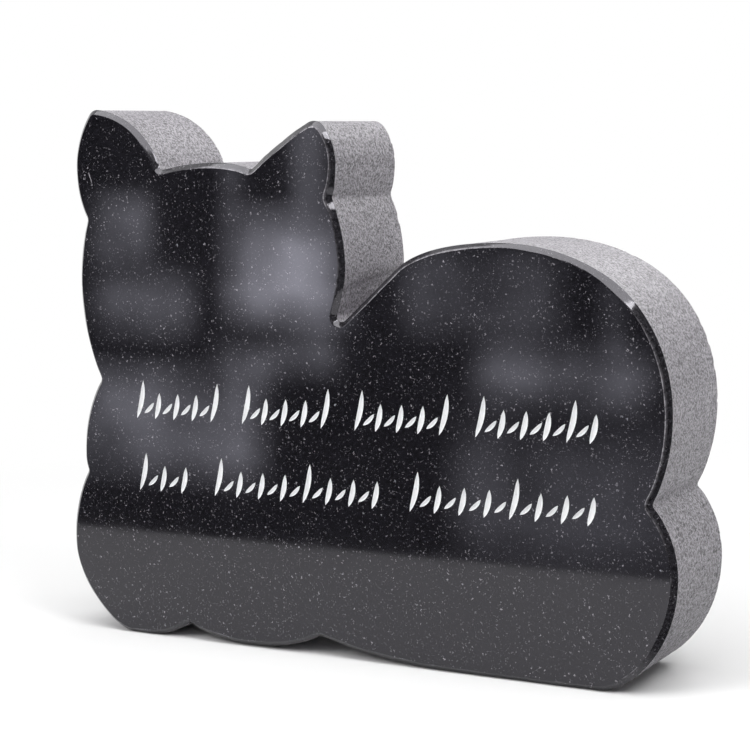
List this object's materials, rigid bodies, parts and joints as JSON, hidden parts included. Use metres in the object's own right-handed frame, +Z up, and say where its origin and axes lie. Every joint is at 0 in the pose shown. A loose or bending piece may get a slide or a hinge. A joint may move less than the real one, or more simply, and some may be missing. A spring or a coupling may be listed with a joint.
{
  "type": "headstone",
  "caption": "Pet headstone: a thick granite slab sawn to the outline of a resting cat, with a polished, chamfered front face and two rows of shallow carved strokes.",
  "frame": {"origin": "on the ground, under the middle of the slab's length and thickness", "axes": "+X from the cat's chest to its rump along the slab's length, +Y from the polished front face to the back, +Z up"},
  "size_m": [0.4, 0.072, 0.322],
  "materials": {
    "granite": "polished front face and chamfer, honed grey sides and back, strokes picked out in white paint"
  },
  "bodies": {
    "root": {"stone": "granite"}
  },
  "joints": []
}
